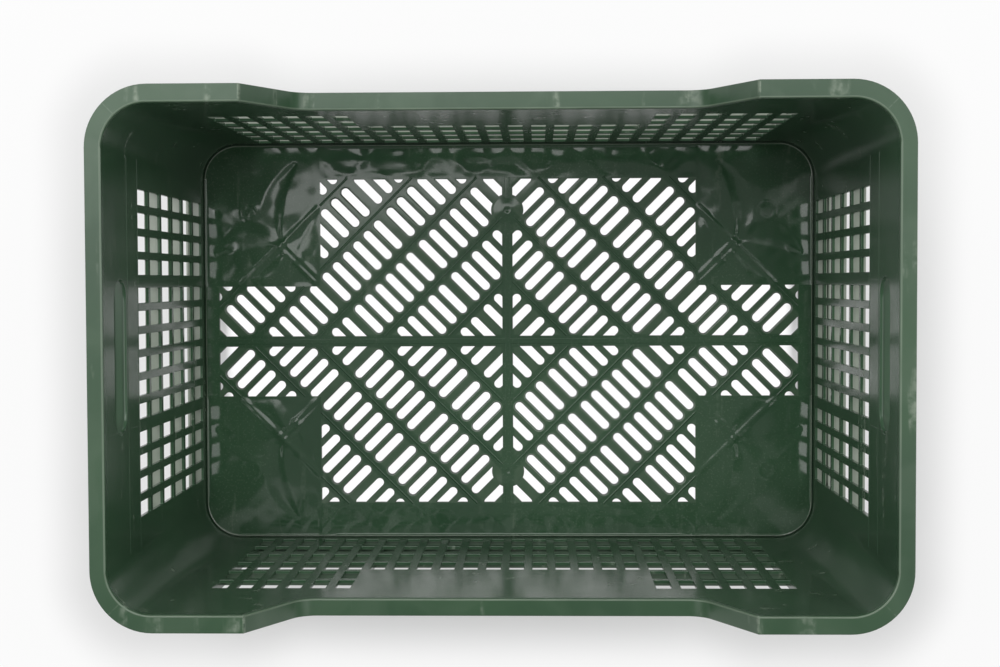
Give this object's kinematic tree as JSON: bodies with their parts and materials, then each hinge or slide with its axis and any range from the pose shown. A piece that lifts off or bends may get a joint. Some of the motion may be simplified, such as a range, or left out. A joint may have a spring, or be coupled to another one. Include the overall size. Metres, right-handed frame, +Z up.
{
  "type": "produce storage crate",
  "caption": "Open-topped rigid plastic crate with pierced walls, slotted floor, hand slots in the ends, lowered long sides and a nesting foot.",
  "frame": {"origin": "on the ground under the middle of the crate, at the centre of the bottom of its box", "axes": "+Z up, +X along the long side, +Y across it; the crate is symmetric about both vertical planes"},
  "size_m": [0.51, 0.34, 0.3],
  "materials": {
    "green_polyethylene": "moulded high-density polyethylene, glossy inside, lightly worn on the rim"
  },
  "bodies": {
    "root": {"corner_post_back_left": "green_polyethylene", "corner_post_back_right": "green_polyethylene", "corner_post_front_left": "green_polyethylene", "corner_post_front_right": "green_polyethylene", "end_wall_left": "green_polyethylene", "end_wall_right": "green_polyethylene", "floor_grille": "green_polyethylene", "floor_pad_back_left": "green_polyethylene", "floor_pad_back_right": "green_polyethylene", "floor_pad_front_left": "green_polyethylene", "floor_pad_front_right": "green_polyethylene", "foot_rail_back": "green_polyethylene", "foot_rail_front": "green_polyethylene", "foot_rail_left": "green_polyethylene", "foot_rail_right": "green_polyethylene", "handle_panel_left": "green_polyethylene", "handle_panel_right": "green_polyethylene", "rim_back": "green_polyethylene", "rim_front": "green_polyethylene", "rim_left": "green_polyethylene", "rim_right": "green_polyethylene", "side_wall_back": "green_polyethylene", "side_wall_front": "green_polyethylene"}
  },
  "joints": []
}
